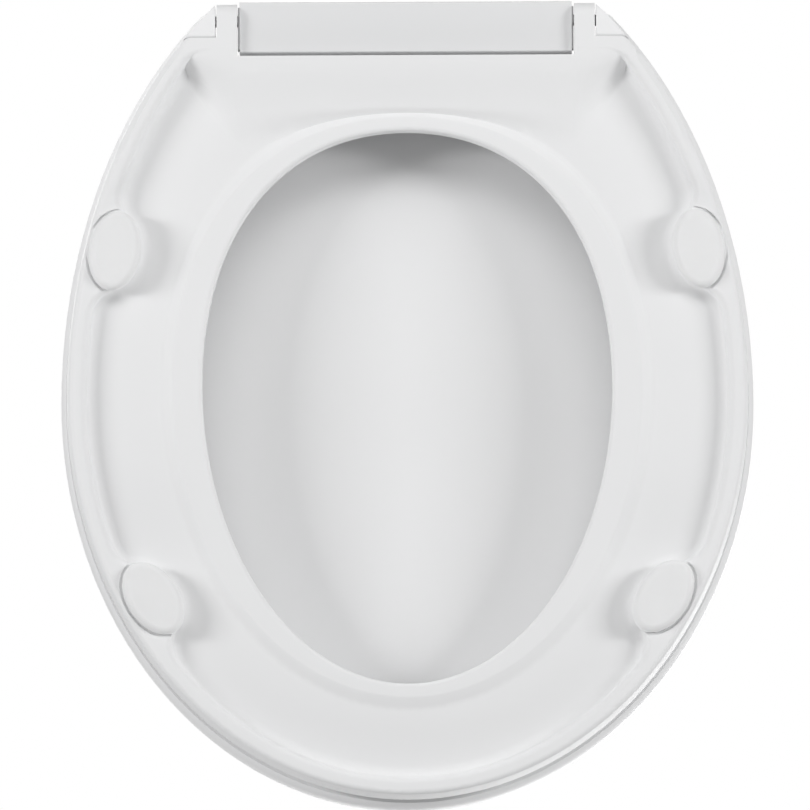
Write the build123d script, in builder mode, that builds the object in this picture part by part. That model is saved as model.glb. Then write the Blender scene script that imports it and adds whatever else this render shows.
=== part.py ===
"""Toilet seat with its lid closed, lying on its four buffers.

The front is towards -Y and the hinge at +Y. The origin lies on the surface that the buffers
rest on, in the middle of the plan. All sizes are in millimetres.
"""

import os

from build123d import *

# Overall outline, shared by the lid and the seat ring
WIDTH = 370.0
LENGTH = 435.0
FRONT_REACH = 220.0  # from the widest line to the front edge
WIDEST_Y = FRONT_REACH - LENGTH / 2

# Hinge line
BAR_BASE = 9.6  # hinge axis to the fixing face of the bar
HINGE_Y = LENGTH / 2 - BAR_BASE
HINGE_Z = 9.6
HUB_RADIUS = 9.2
PIN_RADIUS = 3.0
RUNNING_CLEARANCE = 0.08
SIDE_GAP = 0.7  # between knuckle and ear along the hinge line
BAR_GAP = 1.3  # between bar and knuckle

# Hinge bar
BAR_LENGTH = 177.8
BAR_TOP_RADIUS = 18.7  # rounded side of the bar, about the hinge axis
BAR_FRONT = 5.5  # hinge axis to the plain face
BAR_BACK = 15.5  # hinge axis to the opposite face
BAR_WALL = 2.8
BAR_END = 6.0
BAR_EDGE_RADIUS = 4.0
BAR_LIP_RADIUS = 1.0
COLLAR_INSET = 2.5  # of the collar on each end of the bar
COLLAR_LENGTH = 0.9
COVER_REACH = 14.2  # hinge axis to the inner face of the clip-in cover
COVER_CLEARANCE = 0.15
FIXING_SPACING = 155.0  # widest bolt spacing that the slots take
SLOT_WIDTH = 6.6
SLOT_LENGTH = 20.0

# Seat ring, heights from the resting surface
FLANGE_Z = 4.0
LIP_Z = 10.5
FLOOR_Z = 15.5
SHOULDER_Z = 14.0
CREST_Z = 24.0
FOOT_INSET = 5.0  # from the overall outline to the outer side, at the resting surface
SHOULDER_INSET = 3.0
CREST_RADIUS = 9.5
TROUGH_INSET = 13.5
TROUGH_CORNER = 18.0
TROUGH_REAR_CORNER = 10.0
FLOOR_RADIUS = 7.0
FLANGE_RADIUS = 4.0
FLANGE_EDGE_RADIUS = 3.0
TROUGH_REAR = 19.5  # hinge axis to the rear end of the trough
DECK_Z = 20.5  # top of the seat under the lid's rear edge
DECK_RUN = 24.0
DECK_SLOPE = 26.0
SWEEP_RUN = 75.0  # hinge axis to where the flange starts to sweep down to the knuckles
RAMP_Z = 0.77
RAMP_HEEL = 14.5  # hinge axis to the rear end of the ramp
RAMP_START = 15.0  # hinge axis to where the ramp leaves the rear deck
RAMP_RUN = 66.0  # hinge axis to where the ramp meets the trough's floor
RAMP_HALF = 90.0
RAMP_SIDE = 125.0  # where the ramp has shortened to its end at the trough's corner
RAMP_SIDE_Z = 2.0
RAMP_SIDE_RUN = 23.0
NOTCH_GAP = 1.6

# Hole in the seat ring
RING_SIDE = 75.5  # outline to hole, at the sides, the front and the hinge line
RING_FRONT = 64.9
RING_REAR = 59.5
HOLE_SHIFT = 6.9  # widest line of the outline to that of the hole
HOLE_Y = WIDEST_Y + HOLE_SHIFT
HOLE_HALF_WIDTH = WIDTH / 2 - RING_SIDE
HOLE_FRONT = HOLE_Y + LENGTH / 2 - RING_FRONT
HOLE_REAR = HINGE_Y - RING_REAR - HOLE_Y
HOLE_FULLNESS = 0.61  # handle of the rear curve, as a share of its half-axes
HOLE_TOP_RADIUS = 7.0
HOLE_LOWER_RADIUS = 2.5
LIP_SIDE = 16.0
LIP_END = 7.5
LIP_SLOPE = 6.0  # run of the slope between lip and trough
LIP_RADIUS = 2.5
LIP_FOOT_RADIUS = 5.0

# Seat buffers: half-length, half-width, place and turn
BUFFER_LONG = 21.5
BUFFER_WIDE = 14.0
BUFFER_DOME = 3.6
PAD_MARGIN = -1.2
RECESS_DEPTH = 1.0
RECESS_MARGIN = 1.5  # groove left round the outer half of each buffer
BUFFER_STEM_RADIUS = 4.0
BUFFER_STEM_LENGTH = 7.0
REAR_BUFFER = (WIDTH / 2 - 29.0, HINGE_Y - 125.9)
REAR_BUFFER_TURN = 8.0
FRONT_BUFFER = (WIDTH / 2 - 49.0, 110.5 - LENGTH / 2)
FRONT_BUFFER_TURN = 33.0

# Lid
RIM_Z = 22.5
RIM_INSET = 2.5
LID_WIDE_Z = 27.0
LID_TOP = 52.0
LID_WALL = 4.0
CROWN_SIDE_FALL = 14.26  # from the top of the lid to its crown over the sides
CROWN_END_FALL = 10.75
CROWN_ACROSS = (WIDTH / 2) ** 2 / (2 * CROWN_SIDE_FALL)
CROWN_ALONG = (LENGTH / 2) ** 2 / (2 * CROWN_END_FALL)
CROWN_SWING = 10.0  # half the angle that the crown is swept through
CROWN_EDGE_RADIUS = 5.0
CAVITY_EDGE_RADIUS = 5.0
LID_REAR = 18.2  # hinge axis to the lid's rear edge
EAR_FRONT = 11.3  # hinge axis to the front of the ear
EAR_CORNER = 3.0
EAR_GAP = 0.4  # between ear and seat, as the lid turns
EAR_LEAN = 7.0  # how far the ear's rear face leans forward
PIN_HEAD_RADIUS = 4.6
PIN_HEAD = 1.8
PIN_HEAD_CLEARANCE = 0.3
PIN_HEAD_EDGE = 0.8
EAR_SEAT = 3.4  # thickness of the ear under the pin's head
EAR_WIDTH = 13.65

# Lid buffers
LID_BUFFER = (WIDTH / 2 - 73.0, 97.5 - LENGTH / 2)
LID_BUFFER_RADIUS = 6.5
LID_BUFFER_EDGE = 1.5
LID_BUFFER_STEM = 2.5
LID_BUFFER_STEM_LENGTH = 4.0
LID_BOSS_Z = 28.0
LID_BOSS_MARGIN = 1.5
LID_BUFFER_GAP = 0.3

# Face that each seat buffer sits on
SOCKET_Z = FLANGE_Z + RECESS_DEPTH

# Places along the hinge line, from the middle
BAR_HALF = BAR_LENGTH / 2
KNUCKLE_IN = BAR_HALF + BAR_GAP
KNUCKLE_WIDTH = 11.0
KNUCKLE_OUT = KNUCKLE_IN + KNUCKLE_WIDTH
EAR_IN = KNUCKLE_OUT + SIDE_GAP
EAR_OUT = EAR_IN + EAR_WIDTH
PIN_HEAD_X = EAR_IN + EAR_SEAT
EAR_SWEEP = ((EAR_FRONT - EAR_CORNER) ** 2 + (HUB_RADIUS - EAR_CORNER) ** 2) ** 0.5 + EAR_CORNER
NOTCH_Y = HINGE_Y - BAR_TOP_RADIUS - NOTCH_GAP

# Half-length of the ellipse that the rear half of the outline follows
REAR_REACH = (HINGE_Y - WIDEST_Y) / (1 - (2 * EAR_OUT / WIDTH) ** 2) ** 0.5
FAR = WIDTH  # reach of cuts that run right through


def egg(plane, inset):
    """Return the outline of lid and seat on a plane, moved inwards by inset."""
    centre = (0, WIDEST_Y)
    half_width = WIDTH / 2 - inset
    with BuildSketch(plane) as sketch:
        with BuildLine():
            EllipticalCenterArc(centre, half_width, REAR_REACH - inset, 0, arc_size=180)
            EllipticalCenterArc(centre, half_width, FRONT_REACH - inset, 180, arc_size=180)
        make_face()
    return sketch.sketch


def hole(plane, side, end):
    """Return the outline of the seat's hole, widened at its sides and its ends."""
    half_width = HOLE_HALF_WIDTH + side
    rear = HOLE_REAR + end
    rear_y = HOLE_Y + rear
    handle_x = half_width * HOLE_FULLNESS
    handle_y = HOLE_Y + rear * HOLE_FULLNESS
    with BuildSketch(plane) as sketch:
        with BuildLine():
            EllipticalCenterArc((0, HOLE_Y), half_width, HOLE_FRONT + end, 180, arc_size=180)
            Bezier((half_width, HOLE_Y), (half_width, handle_y), (handle_x, rear_y), (0, rear_y))
            Bezier((0, rear_y), (-handle_x, rear_y), (-half_width, handle_y), (-half_width, HOLE_Y))
        make_face()
    return sketch.sketch


def buffer_places():
    """Return the name, place and turn of each seat buffer."""
    places = []
    for end, (x, y), turn in (
        ("rear", REAR_BUFFER, REAR_BUFFER_TURN),
        ("front", FRONT_BUFFER, -FRONT_BUFFER_TURN),
    ):
        places.append((f"{end}_left", x, y, turn))
        places.append((f"{end}_right", -x, y, -turn))
    return places


def ramp(x, start_z, run):
    """Return the section of the ramp between the rear deck and the trough's floor."""
    top_z = FLOOR_Z + LIP_RADIUS
    with BuildSketch(Plane.YZ.offset(x)) as sketch:
        with BuildLine():
            Spline(
                (HINGE_Y - run, FLOOR_Z), (HINGE_Y - RAMP_START, start_z), tangents=((1, 0), (1, 0))
            )
            Polyline(
                (HINGE_Y - RAMP_START, start_z),
                (HINGE_Y - RAMP_HEEL, start_z),
                (HINGE_Y - RAMP_HEEL, top_z),
                (HINGE_Y - run, top_z),
                (HINGE_Y - run, FLOOR_Z),
            )
        make_face()
    return sketch.sketch


def lid_buffer_places():
    """Return the two places of the lid buffers, left then right."""
    x, y = LID_BUFFER
    return [(x, y), (-x, y)]


def crown(top):
    """Return the solid under the lid's barrel-shaped crown, which is highest at top."""
    centre = (0, 0, top - CROWN_ALONG)
    sag = FAR**2 / (2 * CROWN_ACROSS)
    start = Plane(origin=centre, x_dir=(1, 0, 0), z_dir=(0, -1, 0)).rotated((CROWN_SWING, 0, 0))
    with BuildPart() as dome:
        with BuildSketch(start):
            with BuildLine():
                arc = ThreePointArc(
                    (-FAR, CROWN_ALONG - sag), (0, CROWN_ALONG), (FAR, CROWN_ALONG - sag)
                )
                Polyline(arc @ 1, (FAR, CROWN_ALONG - FAR), (-FAR, CROWN_ALONG - FAR), arc @ 0)
            make_face()
        revolve(axis=Axis(centre, (-1, 0, 0)), revolution_arc=2 * CROWN_SWING)
    return dome.part


def on_trough_rim(edge):
    """Tell whether an edge lies where the flange breaks into the trough."""
    middle = edge.center()
    reach = FRONT_REACH if middle.Y < WIDEST_Y else REAR_REACH
    inset = TROUGH_INSET - FLANGE_EDGE_RADIUS
    across = middle.X / (WIDTH / 2 - inset)
    along = (middle.Y - WIDEST_Y) / (reach - inset)
    low = edge.bounding_box().max.Z < FLANGE_Z + RECESS_DEPTH / 2
    before_hinge = middle.Y < HINGE_Y - TROUGH_REAR + RECESS_DEPTH
    return low and before_hinge and across**2 + along**2 < 1


def flat_face(part, height):
    """Return the level face of a part that lies nearest to a height."""
    return part.faces().filter_by(Axis.Z).sort_by(lambda face: abs(face.center().Z - height))[0]


os.makedirs("parts", exist_ok=True)

# Rear ramp: fills the trough behind the hole, long in the middle and short at the sides
with BuildPart() as rear_ramp:
    loft([ramp(RAMP_SIDE, RAMP_SIDE_Z, RAMP_SIDE_RUN), ramp(RAMP_HALF, RAMP_Z, RAMP_RUN)])
    loft([ramp(-RAMP_SIDE, RAMP_SIDE_Z, RAMP_SIDE_RUN), ramp(-RAMP_HALF, RAMP_Z, RAMP_RUN)])
    extrude(ramp(-RAMP_HALF, RAMP_Z, RAMP_RUN), amount=2 * RAMP_HALF)
    extrude(egg(Plane.XY, FOOT_INSET), amount=CREST_Z, mode=Mode.INTERSECT)
    extrude(hole(Plane.XY, LIP_SIDE / 2, LIP_END / 2), amount=CREST_Z, mode=Mode.SUBTRACT)

# Seat ring: the solid body with its flared side, rounded crest and hole
with BuildPart() as seat_ring:
    shoulder = egg(Plane.XY.offset(SHOULDER_Z), SHOULDER_INSET)
    loft([egg(Plane.XY, FOOT_INSET), shoulder])
    extrude(shoulder, amount=CREST_Z - SHOULDER_Z)
    fillet(seat_ring.edges().group_by(Axis.Z)[-1], CREST_RADIUS)

    # The flange is level at the front and sweeps down to the knuckles at the rear
    knuckle_z = HINGE_Z - HUB_RADIUS
    with BuildSketch(Plane.YZ.offset(-FAR)) as below:
        with BuildLine():
            sweep = Spline(
                (HINGE_Y - SWEEP_RUN, FLANGE_Z), (HINGE_Y, knuckle_z), tangents=((1, 0), (1, 0))
            )
            Polyline(
                sweep @ 1,
                (HINGE_Y + FAR, knuckle_z),
                (HINGE_Y + FAR, -FLANGE_Z),
                (-FAR, -FLANGE_Z),
                (-FAR, FLANGE_Z),
                sweep @ 0,
            )
        make_face()
    extrude(amount=2 * FAR, mode=Mode.SUBTRACT)
    low = [edge for edge in seat_ring.edges() if edge.bounding_box().max.Z < FLANGE_Z + RECESS_DEPTH]
    fillet([edge for edge in low if edge.geom_type != GeomType.LINE], FLANGE_EDGE_RADIUS)

    # The trough lies inside the flange and runs round the pads that carry the buffers
    with BuildSketch() as trough:
        add(egg(Plane.XY, TROUGH_INSET))
        with Locations((0, HINGE_Y - TROUGH_REAR)):
            Rectangle(2 * FAR, 2 * FAR, align=(Align.CENTER, Align.MAX), mode=Mode.INTERSECT)
        for name, x, y, turn in buffer_places():
            with Locations(Location((x, y), turn)):
                Ellipse(BUFFER_WIDE + PAD_MARGIN, BUFFER_LONG + PAD_MARGIN, mode=Mode.SUBTRACT)
    extrude(amount=FLOOR_Z, mode=Mode.SUBTRACT)
    fillet(seat_ring.edges().filter_by(Axis.Z).sort_by(Axis.Y)[-2:], TROUGH_REAR_CORNER)
    corners = seat_ring.edges().filter_by(Axis.Z)
    fillet([edge for edge in corners if edge.center().Y < WIDEST_Y + BUFFER_LONG * 5], TROUGH_CORNER)
    fillet(flat_face(seat_ring, FLOOR_Z).outer_wire().edges(), FLOOR_RADIUS)

    # The lip round the hole stands up from the trough's floor on a gentle slope
    lip_foot = hole(Plane.XY.offset(FLOOR_Z), LIP_SIDE + LIP_SLOPE, LIP_END + LIP_SLOPE)
    loft([lip_foot, hole(Plane.XY.offset(LIP_Z), LIP_SIDE, LIP_END)])
    extrude(hole(Plane.XY, 0, 0), amount=CREST_Z, mode=Mode.SUBTRACT)
    fillet(seat_ring.edges().group_by(Axis.Z)[-1], HOLE_TOP_RADIUS)
    fillet(flat_face(seat_ring, LIP_Z).outer_wire().edges(), LIP_RADIUS)
    fillet(flat_face(seat_ring, FLOOR_Z).inner_wires()[0].edges(), LIP_FOOT_RADIUS)
    fillet(flat_face(seat_ring, LIP_Z).inner_wires()[0].edges(), HOLE_LOWER_RADIUS)
    rim = [edge for edge in seat_ring.edges() if on_trough_rim(edge)]
    fillet(rim, FLANGE_RADIUS)

    # The rear is cut back to the hinge and carries a beam with the two knuckles
    with BuildSketch(Plane.YZ) as deck:
        with BuildLine():
            Polyline(
                (HINGE_Y + FAR, DECK_Z),
                (HINGE_Y - DECK_RUN, DECK_Z),
                (HINGE_Y - DECK_RUN - DECK_SLOPE, CREST_Z),
                (HINGE_Y + FAR, CREST_Z),
                close=True,
            )
        make_face()
    extrude(amount=FAR, both=True, mode=Mode.SUBTRACT)
    with BuildSketch() as rear_cut:
        with Locations((0, HINGE_Y)):
            Rectangle(2 * FAR, FAR, align=(Align.CENTER, Align.MIN))
    extrude(amount=CREST_Z, mode=Mode.SUBTRACT)
    for side in (1, -1):
        with BuildSketch(Plane.YZ.offset(side * KNUCKLE_OUT)) as ear_room:
            with Locations((HINGE_Y, HINGE_Z)):
                Circle(EAR_SWEEP + EAR_GAP)
            with Locations((HINGE_Y - EAR_FRONT - EAR_GAP, HINGE_Z)):
                Rectangle(FAR, FAR, align=(Align.MIN, Align.MIN))
        extrude(amount=side * FAR, mode=Mode.SUBTRACT)
    add(rear_ramp.part)
    with BuildSketch(Plane.YZ) as hub:
        with Locations((HINGE_Y, HINGE_Z)):
            Circle(HUB_RADIUS)
    extrude(amount=KNUCKLE_OUT, both=True)
    with BuildSketch() as notch:
        with Locations((0, NOTCH_Y)):
            Rectangle(2 * KNUCKLE_IN, FAR, align=(Align.CENTER, Align.MIN))
    extrude(amount=CREST_Z, mode=Mode.SUBTRACT)

    # Bores that hold the hinge pins and sockets for the buffers' stems
    with BuildSketch(Plane.YZ) as pin_bore:
        with Locations((HINGE_Y, HINGE_Z)):
            Circle(PIN_RADIUS)
    extrude(amount=KNUCKLE_OUT, both=True, mode=Mode.SUBTRACT)
    with BuildSketch() as recesses:
        for name, x, y, turn in buffer_places():
            with Locations(Location((x, y), turn)):
                Ellipse(BUFFER_WIDE + RECESS_MARGIN, BUFFER_LONG + RECESS_MARGIN)
    extrude(amount=SOCKET_Z, mode=Mode.SUBTRACT)
    with BuildSketch(Plane.XY.offset(SOCKET_Z)) as stem_sockets:
        with Locations(*[(x, y) for name, x, y, turn in buffer_places()]):
            Circle(BUFFER_STEM_RADIUS)
    extrude(amount=BUFFER_STEM_LENGTH, mode=Mode.SUBTRACT)
seat_ring.part.label = "seat_ring"
export_step(seat_ring.part, "parts/seat_ring.step")

# Seat buffers: domed ovals with a stem pressed into the ring
for name, x, y, turn in buffer_places():
    with BuildPart() as seat_buffer:
        with BuildSketch(Plane(origin=(x, y, 0)).rotated((0, 0, turn))):
            Ellipse(BUFFER_WIDE, BUFFER_LONG)
        extrude(amount=SOCKET_Z)
        fillet(seat_buffer.edges().group_by(Axis.Z)[0], BUFFER_DOME)
        with BuildSketch(Plane(origin=(x, y, SOCKET_Z))):
            Circle(BUFFER_STEM_RADIUS)
        extrude(amount=BUFFER_STEM_LENGTH)
    seat_buffer.part.label = f"seat_buffer_{name}"
    export_step(seat_buffer.part, f"parts/seat_buffer_{name}.step")

# Lid cavity: what is hollowed out of the lid, open downwards
with BuildPart() as cavity:
    inner_wide = Plane.XY.offset(LID_WIDE_Z)
    loft([egg(Plane.XY.offset(RIM_Z), RIM_INSET + LID_WALL), egg(inner_wide, LID_WALL)])
    extrude(egg(inner_wide, LID_WALL), amount=LID_TOP)
    with BuildSketch() as cavity_rear:
        with Locations((0, HINGE_Y - LID_REAR - LID_WALL)):
            Rectangle(2 * FAR, FAR, align=(Align.CENTER, Align.MIN))
    extrude(amount=2 * LID_TOP, mode=Mode.SUBTRACT)
    add(crown(LID_TOP - LID_WALL), mode=Mode.INTERSECT)
    fillet(cavity.faces().sort_by(Axis.Z)[-1].edges(), CAVITY_EDGE_RADIUS)

# Lid bosses: short posts under the crown that carry the lid buffers
with BuildPart() as bosses:
    with BuildSketch(Plane.XY.offset(LID_BOSS_Z)):
        with Locations(*lid_buffer_places()):
            Circle(LID_BUFFER_RADIUS + LID_BOSS_MARGIN)
    extrude(amount=LID_TOP)
    add(crown(LID_TOP - LID_WALL / 2), mode=Mode.INTERSECT)

# Lid: a crowned shell with a short skirt, a straight rear edge and two ears
with BuildPart() as lid:
    rim_outline = egg(Plane.XY.offset(RIM_Z), RIM_INSET)
    wide_outline = egg(Plane.XY.offset(LID_WIDE_Z), 0)
    loft([egg(Plane.XY, FOOT_INSET), rim_outline])
    loft([rim_outline, wide_outline])
    extrude(wide_outline, amount=LID_TOP)
    ear_y = HINGE_Y - EAR_FRONT
    ear_z = HINGE_Z - HUB_RADIUS
    with BuildSketch(Plane.YZ) as lid_side:
        with BuildLine():
            CenterArc((HINGE_Y, HINGE_Z), HUB_RADIUS, 270, 90)
            Line((HINGE_Y, ear_z), (ear_y + EAR_CORNER, ear_z))
            CenterArc((ear_y + EAR_CORNER, ear_z + EAR_CORNER), EAR_CORNER, 180, 90)
            Polyline(
                (ear_y, ear_z + EAR_CORNER),
                (ear_y, RIM_Z),
                (-FAR, RIM_Z),
                (-FAR, LID_TOP),
                (HINGE_Y + HUB_RADIUS - EAR_LEAN, LID_TOP),
                (HINGE_Y + HUB_RADIUS, HINGE_Z),
            )
        make_face()
    extrude(amount=FAR, both=True, mode=Mode.INTERSECT)
    with BuildSketch() as lid_rear:
        with Locations((0, HINGE_Y - LID_REAR)):
            Rectangle(2 * EAR_IN, FAR, align=(Align.CENTER, Align.MIN))
    extrude(amount=2 * LID_TOP, mode=Mode.SUBTRACT)
    add(crown(LID_TOP), mode=Mode.INTERSECT)
    fillet(lid.faces().sort_by(Axis.Z)[-1].edges(), CROWN_EDGE_RADIUS)
    add(cavity.part, mode=Mode.SUBTRACT)

    # The pins run in the ears, with a recess for each head
    with BuildSketch(Plane.YZ) as lid_bore:
        with Locations((HINGE_Y, HINGE_Z)):
            Circle(PIN_RADIUS + RUNNING_CLEARANCE)
    extrude(amount=PIN_HEAD_X, both=True, mode=Mode.SUBTRACT)
    for side in (Plane.YZ.offset(PIN_HEAD_X), Plane.YZ.offset(-PIN_HEAD_X)):
        with BuildSketch(side):
            with Locations((HINGE_Y, HINGE_Z)):
                Circle(PIN_HEAD_RADIUS + PIN_HEAD_CLEARANCE)
        extrude(amount=FAR * side.origin.X / PIN_HEAD_X, mode=Mode.SUBTRACT)

    # The bosses have sockets for the buffers' stems
    add(bosses.part)
    with BuildSketch(Plane.XY.offset(LID_BOSS_Z)) as boss_sockets:
        with Locations(*lid_buffer_places()):
            Circle(LID_BUFFER_STEM)
    extrude(amount=LID_BUFFER_STEM_LENGTH, mode=Mode.SUBTRACT)
lid.part.label = "lid"
export_step(lid.part, "parts/lid.step")

# Lid buffers: round pads that the closed lid rests on
for name, place in zip(("left", "right"), lid_buffer_places()):
    with BuildPart() as lid_buffer:
        with BuildSketch(Plane.XY.offset(CREST_Z + LID_BUFFER_GAP)):
            with Locations(place):
                Circle(LID_BUFFER_RADIUS)
        extrude(amount=LID_BOSS_Z - CREST_Z - LID_BUFFER_GAP)
        fillet(lid_buffer.edges().group_by(Axis.Z)[0], LID_BUFFER_EDGE)
        with BuildSketch(Plane.XY.offset(LID_BOSS_Z)):
            with Locations(place):
                Circle(LID_BUFFER_STEM)
        extrude(amount=LID_BUFFER_STEM_LENGTH)
    lid_buffer.part.label = f"lid_buffer_{name}"
    export_step(lid_buffer.part, f"parts/lid_buffer_{name}.step")

# Hinge bar: a hollow moulding with a plain face, open on its rounded side
bar_mouth_low = HINGE_Z - BAR_FRONT + BAR_WALL
bar_mouth_high = HINGE_Z + BAR_BACK - BAR_WALL
bar_mouth_middle = (bar_mouth_low + bar_mouth_high) / 2
bar_base_y = HINGE_Y + BAR_BASE
with BuildSketch(Plane.YZ) as bar_section:
    with BuildLine():
        low = (HINGE_Y - (BAR_TOP_RADIUS**2 - BAR_FRONT**2) ** 0.5, HINGE_Z - BAR_FRONT)
        high = (HINGE_Y - (BAR_TOP_RADIUS**2 - BAR_BACK**2) ** 0.5, HINGE_Z + BAR_BACK)
        Polyline(high, (bar_base_y, high[1]), (bar_base_y, low[1]), low)
        ThreePointArc(low, (HINGE_Y - BAR_TOP_RADIUS, HINGE_Z), high)
    make_face()
    fillet(bar_section.vertices().group_by(Axis.Y)[-1], BAR_EDGE_RADIUS)
    fillet(bar_section.vertices().group_by(Axis.Y)[0], BAR_LIP_RADIUS)

with BuildSketch(Plane.YZ) as bar_collar:
    add(bar_section.sketch_local)
    offset(amount=-COLLAR_INSET, mode=Mode.REPLACE)

with BuildPart() as hinge_bar:
    extrude(bar_section.sketch, amount=BAR_HALF, both=True)
    extrude(bar_collar.sketch, amount=BAR_HALF + COLLAR_LENGTH, both=True)
    with BuildSketch(Plane.XZ.offset(BAR_WALL - bar_base_y)) as bar_inside:
        with Locations((0, bar_mouth_middle)):
            Rectangle(BAR_LENGTH - 2 * BAR_END, bar_mouth_high - bar_mouth_low)
    extrude(amount=FAR, mode=Mode.SUBTRACT)
    with BuildSketch(Plane.XZ.offset(-bar_base_y)) as bar_slots:
        with Locations((0, bar_mouth_middle)):
            with GridLocations(FIXING_SPACING - SLOT_LENGTH + SLOT_WIDTH, 0, 2, 1):
                SlotOverall(SLOT_LENGTH, SLOT_WIDTH)
    extrude(amount=BAR_WALL, mode=Mode.SUBTRACT)
    with BuildSketch(Plane.YZ) as bar_sockets:
        with Locations((HINGE_Y, HINGE_Z)):
            Circle(PIN_RADIUS + RUNNING_CLEARANCE)
    extrude(amount=KNUCKLE_IN, both=True, mode=Mode.SUBTRACT)
hinge_bar.part.label = "hinge_bar"
export_step(hinge_bar.part, "parts/hinge_bar.step")

# Bar cover: the curved strip that closes the bar's open side
with BuildPart() as bar_cover:
    extrude(bar_section.sketch, amount=BAR_HALF - BAR_END - COVER_CLEARANCE, both=True)
    with BuildSketch(Plane.XZ.offset(COVER_REACH - HINGE_Y)) as cover_limit:
        with Locations((0, bar_mouth_middle)):
            Rectangle(BAR_LENGTH, bar_mouth_high - bar_mouth_low - 2 * COVER_CLEARANCE)
    extrude(amount=FAR, mode=Mode.INTERSECT)
bar_cover.part.label = "bar_cover"
export_step(bar_cover.part, "parts/bar_cover.step")

# Hinge pins: held in the knuckles, running in the bar and the ears
for name, side in (("left", 1), ("right", -1)):
    with BuildPart() as hinge_pin:
        with BuildSketch(Plane.YZ.offset(side * (BAR_HALF - BAR_END))):
            with Locations((HINGE_Y, HINGE_Z)):
                Circle(PIN_RADIUS)
        extrude(amount=side * (PIN_HEAD_X - BAR_HALF + BAR_END))
        with BuildSketch(Plane.YZ.offset(side * PIN_HEAD_X)):
            with Locations((HINGE_Y, HINGE_Z)):
                Circle(PIN_HEAD_RADIUS)
        extrude(amount=side * PIN_HEAD)
        fillet(hinge_pin.edges().sort_by(Axis.X)[-1 if side > 0 else 0], PIN_HEAD_EDGE)
    hinge_pin.part.label = f"hinge_pin_{name}"
    export_step(hinge_pin.part, f"parts/hinge_pin_{name}.step")
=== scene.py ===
"""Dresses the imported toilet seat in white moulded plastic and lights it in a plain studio."""

from __future__ import annotations

import logging
import math
from dataclasses import dataclass, field
from enum import Enum

import bmesh
import bpy
from mathutils import Matrix, Vector


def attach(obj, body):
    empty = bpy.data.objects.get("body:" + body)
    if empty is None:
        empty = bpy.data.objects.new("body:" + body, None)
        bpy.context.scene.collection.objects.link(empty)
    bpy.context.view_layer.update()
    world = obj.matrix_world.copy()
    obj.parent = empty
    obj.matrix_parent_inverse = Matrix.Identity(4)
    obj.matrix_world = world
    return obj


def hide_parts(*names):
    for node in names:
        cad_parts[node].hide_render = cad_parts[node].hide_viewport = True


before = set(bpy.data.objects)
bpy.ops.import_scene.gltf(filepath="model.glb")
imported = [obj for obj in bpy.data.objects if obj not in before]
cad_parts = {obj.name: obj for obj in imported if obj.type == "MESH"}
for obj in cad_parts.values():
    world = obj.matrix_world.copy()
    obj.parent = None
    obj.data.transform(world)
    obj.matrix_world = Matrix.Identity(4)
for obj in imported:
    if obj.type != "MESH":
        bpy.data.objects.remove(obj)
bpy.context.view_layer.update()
NOISE_MIDDLE = 0.5
WHITE = (1, 1, 1, 1)
log = logging.getLogger("toilet_seat")


class MathStep(Enum):
    """Operations of a Math node that the finishes use."""

    ADD = "ADD"
    SUBTRACT = "SUBTRACT"
    MULTIPLY = "MULTIPLY"
    MAXIMUM = "MAXIMUM"


@dataclass
class Value:
    """One output socket of a node graph, on which Python's operators add Math nodes."""

    graph: Graph
    socket: bpy.types.NodeSocket

    def _step(self, step: MathStep, left: Value | float, right: Value | float) -> Value:
        """Adds one Math node.

        Args:
            step: The operation of the node.
            left: The first value.
            right: The second value.

        Returns:
            The value that the node gives.
        """
        return self.graph.node("ShaderNodeMath", {"operation": step.value}, {0: left, 1: right})

    def __add__(self, other: Value | float) -> Value:
        """Returns this value plus another."""
        return self._step(MathStep.ADD, self, other)

    def __radd__(self, other: float) -> Value:
        """Returns a number plus this value."""
        return self._step(MathStep.ADD, other, self)

    def __sub__(self, other: Value | float) -> Value:
        """Returns this value less another."""
        return self._step(MathStep.SUBTRACT, self, other)

    def __mul__(self, other: Value | float) -> Value:
        """Returns this value times another."""
        return self._step(MathStep.MULTIPLY, self, other)

    def __rmul__(self, other: float) -> Value:
        """Returns a number times this value."""
        return self._step(MathStep.MULTIPLY, other, self)

    def __or__(self, other: Value | float) -> Value:
        """Returns the larger of this value and another, for masks."""
        return self._step(MathStep.MAXIMUM, self, other)


@dataclass
class Graph:
    """The node tree of a material or of the world."""

    tree: bpy.types.NodeTree

    def node(self, kind: str, settings: dict | None = None, sockets: dict | None = None,
             output: str | int = 0) -> Value:
        """Adds one node.

        Args:
            kind: The node's type.
            settings: Properties of the node, set before its sockets; "stops" fills a ramp.
            sockets: Numbers, colours or values for the inputs, by name or by place.
            output: The output that the result stands for, by name or by place.

        Returns:
            The chosen output of the new node.
        """
        node = self.tree.nodes.new(kind)
        for name, setting in (settings or {}).items():
            if name == "stops":
                self._fill_ramp(node.color_ramp, setting)
            else:
                setattr(node, name, setting)
        for place, source in (sockets or {}).items():
            if isinstance(source, Value):
                self.tree.links.new(source.socket, node.inputs[place])
            else:
                node.inputs[place].default_value = source
        shown = node.outputs[output] if node.outputs else None
        return Value(self, shown)

    def other(self, value: Value, output: str) -> Value:
        """Returns another output of the node that a value comes from."""
        return Value(self, value.socket.node.outputs[output])

    @staticmethod
    def _fill_ramp(ramp: bpy.types.ColorRamp, stops: tuple[tuple[float, float], ...]) -> None:
        """Sets the grey stops of a ramp.

        Args:
            ramp: The ramp, which starts with two stops.
            stops: The place and the grey of each stop.
        """
        while len(ramp.elements) < len(stops):
            ramp.elements.new(NOISE_MIDDLE)
        for element, (place, grey) in zip(ramp.elements, stops):
            element.position = place
            element.color = (grey, grey, grey, 1.0)


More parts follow.
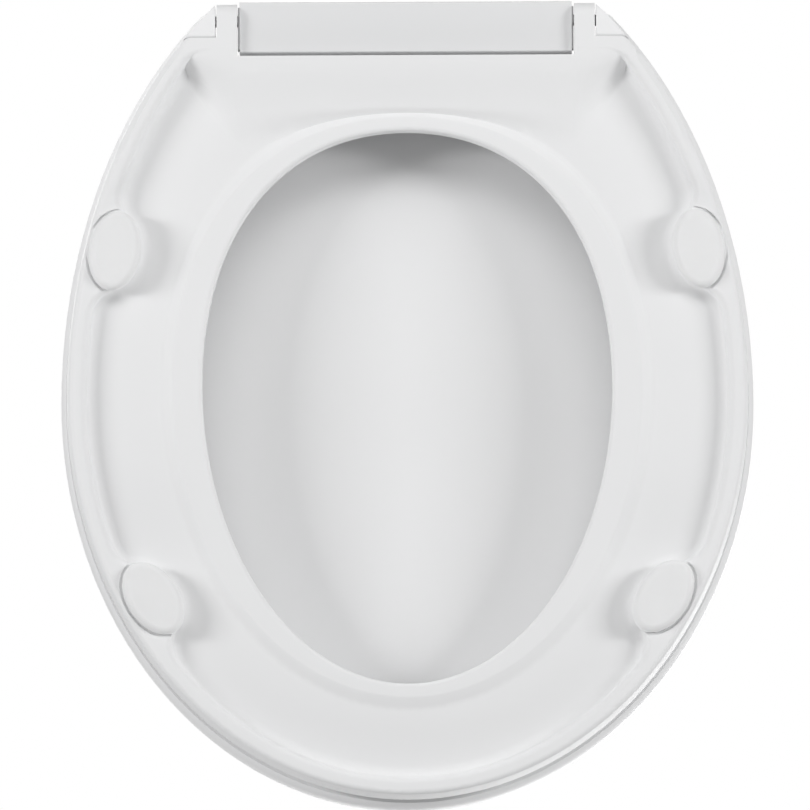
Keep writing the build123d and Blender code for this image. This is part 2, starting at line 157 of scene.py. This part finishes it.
@dataclass(frozen=True)
class Noise:
    """One noise of a finish.

    Scale counts waves per metre, detail counts octaves of finer noise, and warp draws it out of shape.
    """

    scale: float
    detail: float = 1.0
    warp: float = 0.0

    def build(self, graph: Graph, place: Value) -> Value:
        """Adds the noise.

        Args:
            graph: The material's graph.
            place: The object's own coordinates.

        Returns:
            A value about a half.
        """
        return graph.node(
            "ShaderNodeTexNoise",
            None,
            {
                "Vector": place,
                "Scale": self.scale,
                "Detail": self.detail,
                "Roughness": NOISE_MIDDLE,
                "Distortion": self.warp,
            },
        )


@dataclass(frozen=True)
class Moulding:
    """A white moulded finish: even colour with slow flow marks, and a skin of fine orange peel.

    Heights are metres.
    """

    name: str
    colour: tuple[float, float, float, float]
    flow_colour: tuple[float, float, float, float]
    roughness: float
    roughness_swing: float
    peel: Noise
    peel_height: float
    grain: Noise
    grain_height: float
    flow: Noise = Noise(7.0)
    haze: Noise = Noise(38.0, 4.0, 0.2)
    flow_stops: tuple[tuple[float, float], ...] = ((0.2, 0.0), (0.8, 1.0))
    specular: float = 0.15

    def material(self) -> bpy.types.Material:
        """Builds the material.

        Returns:
            A material whose colour, roughness and bump follow the place on the moulding.
        """
        made = bpy.data.materials.new(self.name)
        made.use_nodes = True
        made.diffuse_color = self.colour
        made.node_tree.nodes.clear()
        graph = Graph(made.node_tree)
        place = graph.node("ShaderNodeTexCoord", output="Object")
        flow = self.flow.build(graph, place)
        haze = self.haze.build(graph, place)
        peel = self.peel.build(graph, place)
        grain = self.grain.build(graph, place)
        streak = graph.node("ShaderNodeValToRGB", {"stops": self.flow_stops}, {"Fac": flow})
        colour = graph.node(
            "ShaderNodeMix",
            {"data_type": "RGBA"},
            {"Factor": streak, "A": self.colour, "B": self.flow_colour},
            output=2,
        )
        roughness = self.roughness + self.roughness_swing * (haze - NOISE_MIDDLE)
        height = peel * self.peel_height + grain * self.grain_height
        skin = graph.node("ShaderNodeBump", None, {"Strength": 1.0, "Distance": 1.0, "Height": height})
        shader = graph.node(
            "ShaderNodeBsdfPrincipled",
            None,
            {
                "Base Color": colour,
                "Roughness": roughness,
                "Specular IOR Level": self.specular,
                "Normal": skin,
            },
        )
        graph.node("ShaderNodeOutputMaterial", None, {"Surface": shader})
        return made


class Finish(Enum):
    """The finishes of the seat. The ring's and the bar's greys are darker copies of the lid's white:
    painted shade.
    """

    RING = Moulding(
        name="ring_moulding",
        # Painted shade: the ring's grey is darker than the lid's, a darker copy of the same white
        # plastic that stands in for the shade along its trough.
        colour=(0.772, 0.774, 0.778, 1),
        flow_colour=(0.762, 0.764, 0.769, 1),
        roughness=0.46,
        roughness_swing=0.06,
        peel=Noise(420, 2.0),
        peel_height=0.000016,
        grain=Noise(2600),
        grain_height=0.0000012,
    )
    LID = Moulding(
        name="lid_moulding",
        colour=(0.802, 0.804, 0.808, 1),
        flow_colour=(0.792, 0.794, 0.799, 1),
        roughness=0.42,
        roughness_swing=0.06,
        peel=Noise(400, 2.0),
        peel_height=0.000014,
        grain=Noise(2600),
        grain_height=0.0000012,
    )
    BAR = Moulding(
        name="bar_moulding",
        # Painted shade: the bar's grey is darker than the lid's, a darker copy of the same white
        # plastic that stands in for the shade on the bar's face.
        colour=(0.716, 0.719, 0.725, 1),
        flow_colour=(0.706, 0.709, 0.715, 1),
        roughness=0.36,
        roughness_swing=0.06,
        peel=Noise(520, 2.0),
        peel_height=0.000014,
        grain=Noise(3200),
        grain_height=0.0000014,
    )
    BUFFER = Moulding(
        name="buffer_satin",
        colour=(0.768, 0.770, 0.773, 1),
        flow_colour=(0.750, 0.752, 0.755, 1),
        roughness=0.40,
        roughness_swing=0.10,
        peel=Noise(700, 2.0),
        peel_height=0.000010,
        grain=Noise(3800),
        grain_height=0.0000030,
    )
    PIN = Moulding(
        name="pin_satin",
        colour=(0.760, 0.762, 0.765, 1),
        flow_colour=(0.735, 0.737, 0.740, 1),
        roughness=0.46,
        roughness_swing=0.10,
        peel=Noise(800, 2.0),
        peel_height=0.000008,
        grain=Noise(4200),
        grain_height=0.0000030,
    )


@dataclass
class Assembly:
    """Nodes of the frame that move together, and the finish that each one gets.

    The angle is degrees, and the weld is metres.
    """

    title: str
    finishes: dict[str, Finish]
    smooth_angle: float = 32.0
    weld: float = 0.000002
    face_weight: int = 50

    def dress(self, materials: dict[Finish, bpy.types.Material]) -> None:
        """Gives each node its material and its smooth skin.

        Args:
            materials: The material made for each finish.
        """
        for name, finish in self.finishes.items():
            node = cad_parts[name]
            node.data.materials.clear()
            node.data.materials.append(materials[finish])
            self._smooth(node)
            log.info("%s: %s dressed as %s", self.title, name, materials[finish].name)

    def _smooth(self, node: bpy.types.Object) -> None:
        """Joins the loose triangles of a node and rounds its shading, without touching its mesh.

        Args:
            node: The node's object.
        """
        node.data.polygons.foreach_set("use_smooth", [True] * len(node.data.polygons))
        weld = node.modifiers.new("joined_skin", "WELD")
        weld.merge_threshold = self.weld
        crisp = node.modifiers.new("crisp_edges", "EDGE_SPLIT")
        crisp.split_angle = math.radians(self.smooth_angle)
        even = node.modifiers.new("even_faces", "WEIGHTED_NORMAL")
        even.mode = "FACE_AREA"
        even.weight = self.face_weight


@dataclass
class Seat(Assembly):
    """The ring with its four buffers and the two pins that its knuckles hold.

    Lengths are metres. The ring gets a skin of its own, whose trough is shallower than the solid's,
    most of all at the front, with easier walls and a lower lip round the hole.
    """

    title: str = "seat"
    finishes: dict[str, Finish] = field(default_factory=lambda: {
        "seat_buffer_rear_left": Finish.BUFFER,
        "seat_buffer_rear_right": Finish.BUFFER,
        "seat_buffer_front_left": Finish.BUFFER,
        "seat_buffer_front_right": Finish.BUFFER,
        "hinge_pin_left": Finish.PIN,
        "hinge_pin_right": Finish.PIN,
    })
    half_width: float = 0.185
    front_reach: float = 0.220
    rear_reach: float = 0.263
    widest_y: float = 0.0025
    flange: float = 0.009
    rear_limit: float = 0.193
    ledge_height: float = 0.0052
    floor_height: float = 0.0155
    floor_margin: float = 0.0001
    floor_drop: float = 0.004
    rear_drop: float = 0.0012
    rear_fade: tuple[float, float] = (0.04, 0.14)
    ease: float = 1.5

    def dress(self, materials: dict[Finish, bpy.types.Material]) -> None:
        """Dresses the nodes and puts the skin in the place of the ring.

        Args:
            materials: The material made for each finish.
        """
        super().dress(materials)
        ring = self._ring_skin()
        ring.data.materials.append(materials[Finish.RING])
        self._smooth(ring)
        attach(ring, "seat")
        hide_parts("seat_ring")
        log.info("%s: %s dressed as %s", self.title, ring.name, materials[Finish.RING].name)

    def _ring_skin(self) -> bpy.types.Object:
        """Copies the ring and draws the floor of its trough down towards the flange.

        Returns:
            The skin's object, at the origin.
        """
        skin = bmesh.new()
        skin.from_mesh(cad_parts["seat_ring"].data)
        bmesh.ops.remove_doubles(skin, verts=skin.verts, dist=self.weld)
        for vert in skin.verts:
            if self._in_trough(vert.co):
                depth = (vert.co.z - self.ledge_height) / (self.floor_height - self.ledge_height)
                vert.co.z -= self._drop(vert.co.y) * min(depth, 1.0) ** self.ease
        mesh = bpy.data.meshes.new("ring_skin")
        skin.to_mesh(mesh)
        skin.free()
        ring = bpy.data.objects.new("ring_skin", mesh)
        bpy.context.scene.collection.objects.link(ring)
        return ring

    def _drop(self, y: float) -> float:
        """Finds how far the floor of the trough is drawn down.

        Args:
            y: The place along the seat.

        Returns:
            The drop, which fades towards the rear.
        """
        start, end = self.rear_fade
        share = min(max((y - start) / (end - start), 0.0), 1.0)
        return self.floor_drop + (self.rear_drop - self.floor_drop) * share

    def _in_trough(self, place: Vector) -> bool:
        """Tells whether a point of the ring lies in the trough or on the lip round the hole.

        Args:
            place: The point.

        Returns:
            True from the foot of the flange inwards, up to the floor.
        """
        reach = self.front_reach if place.y < self.widest_y else self.rear_reach
        across = place.x / (self.half_width - self.flange)
        along = (place.y - self.widest_y) / (reach - self.flange)
        level = self.ledge_height < place.z < self.floor_height + self.floor_margin
        return level and place.y < self.rear_limit and across**2 + along**2 < 1


@dataclass
class Lid(Assembly):
    """The crowned lid and its two pads."""

    title: str = "lid"
    finishes: dict[str, Finish] = field(default_factory=lambda: {
        "lid": Finish.LID,
        "lid_buffer_left": Finish.BUFFER,
        "lid_buffer_right": Finish.BUFFER,
    })


@dataclass
class Bar(Assembly):
    """The hinge bar and the strip that closes it."""

    title: str = "bar"
    finishes: dict[str, Finish] = field(default_factory=lambda: {
        "hinge_bar": Finish.BAR,
        "bar_cover": Finish.BAR,
    })


@dataclass(frozen=True)
class Lamp:
    """A soft area lamp that looks at the seat. Lengths are metres and power is watts."""

    name: str
    place: tuple[float, float, float]
    width: float
    height: float
    power: float

    def build(self) -> bpy.types.Object:
        """Makes the lamp.

        Returns:
            The lamp's object, turned towards the middle of the seat.
        """
        data = bpy.data.lights.new(self.name, "AREA")
        data.shape = "RECTANGLE"
        data.size = self.width
        data.size_y = self.height
        data.energy = self.power
        lamp = bpy.data.objects.new(self.name, data)
        lamp.location = self.place
        lamp.rotation_euler = (-Vector(self.place)).to_track_quat("-Z", "Y").to_euler()
        lamp.visible_camera = False
        bpy.context.scene.collection.objects.link(lamp)
        return lamp


@dataclass
class Studio:
    """Floor, lamps, pale surround and camera. Lengths are metres and angles degrees."""

    floor_half: float = 12.0
    floor_colour: tuple[float, float, float, float] = (0.9, 0.9, 0.9, 1)
    surround: float = 0.2
    tilt: float = 11.0
    roll: float = 0.27
    distance: float = 14.0
    sensor: float = 36.0
    frame_width: float = 0.4325
    target: tuple[float, float, float] = (0.0013, -0.0015, 0.0096)
    clip: tuple[float, float] = (0.05, 60.0)
    lamps: tuple[Lamp, ...] = (
        Lamp("low_front", (0.0, 1.75, -2.45), 3.4, 1.0, 40),
        Lamp("low_side_left", (2.2, 0.3, -1.16), 0.36, 0.8, 31.5),
        Lamp("low_side_right", (-2.2, 0.3, -1.16), 0.36, 0.8, 31.5),
        Lamp("low_fill", (0.0, -2.6, -0.35), 2.4, 0.5, 26),
        Lamp("high_key", (-0.6, -0.5, 2.3), 1.6, 1.6, 34),
        Lamp("high_back", (0.5, 0.9, 2.2), 1.2, 1.2, 11),
    )

    def build(self) -> None:
        """Makes everything round the seat."""
        self._floor()
        self._world()
        for lamp in self.lamps:
            lamp.build()
            log.info("studio: %s", lamp.name)
        self._camera()
        bpy.context.scene.view_settings.view_transform = "Standard"

    def _floor(self) -> None:
        """Lays the floor under the buffers: seen and shaded from above, clear from below."""
        made = bpy.data.materials.new("pale_floor")
        made.use_nodes = True
        made.node_tree.nodes.clear()
        graph = Graph(made.node_tree)
        below = graph.node("ShaderNodeNewGeometry", output="Backfacing")
        matt = graph.node("ShaderNodeBsdfDiffuse", None, {"Color": self.floor_colour})
        clear = graph.node("ShaderNodeBsdfTransparent")
        both = graph.node("ShaderNodeMixShader", None, {0: below, 1: matt, 2: clear})
        graph.node("ShaderNodeOutputMaterial", None, {"Surface": both})
        mesh = bpy.data.meshes.new("pale_floor")
        half = self.floor_half
        corners = [(-half, -half, 0), (half, -half, 0), (half, half, 0), (-half, half, 0)]
        mesh.from_pydata(corners, [], [(0, 1, 2, 3)])
        mesh.materials.append(made)
        floor = bpy.data.objects.new("pale_floor", mesh)
        floor.visible_diffuse = False
        floor.visible_glossy = False
        floor.visible_transmission = False
        floor.visible_shadow = False
        bpy.context.scene.collection.objects.link(floor)
        log.info("studio: pale_floor")

    def _world(self) -> None:
        """Sets a soft surround that is plain white to the camera and in reflections."""
        world = bpy.data.worlds.new("pale_surround")
        bpy.context.scene.world = world
        world.use_nodes = True
        world.node_tree.nodes.clear()
        graph = Graph(world.node_tree)
        seen = graph.node("ShaderNodeLightPath", output="Is Camera Ray")
        glossy = graph.other(seen, "Is Glossy Ray")
        through = graph.other(seen, "Is Transmission Ray")
        white = seen | glossy | through
        strength = self.surround + (1.0 - self.surround) * white
        light = graph.node("ShaderNodeBackground", None, {"Color": WHITE, "Strength": strength})
        graph.node("ShaderNodeOutputWorld", None, {"Surface": light})

    def _camera(self) -> None:
        """Stands the camera in front of and below the seat, as the photograph was taken."""
        turn = math.radians(self.tilt)
        look = Vector((0, math.sin(turn), math.cos(turn)))
        data = bpy.data.cameras.new("photo_camera")
        data.sensor_width = self.sensor
        data.lens = self.sensor * self.distance / self.frame_width
        data.clip_start, data.clip_end = self.clip
        camera = bpy.data.objects.new("photo_camera", data)
        right = Vector((-1, 0, 0))
        up = Vector((0, math.cos(turn), -math.sin(turn)))
        level = Matrix((right, up, -look)).transposed().to_4x4()
        axes = level @ Matrix.Rotation(math.radians(-self.roll), 4, "Z")
        camera.matrix_world = Matrix.Translation(Vector(self.target) - look * self.distance) @ axes
        bpy.context.scene.collection.objects.link(camera)
        bpy.context.scene.camera = camera
        log.info("studio: photo_camera with a lens of %.0f mm", data.lens)


def main() -> None:
    """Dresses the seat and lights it."""
    logging.basicConfig(level=logging.INFO, format="%(name)s %(message)s")
    materials = {finish: finish.value.material() for finish in Finish}
    for assembly in (Seat(), Lid(), Bar()):
        assembly.dress(materials)
    Studio().build()


if __name__ == "__main__":
    main()
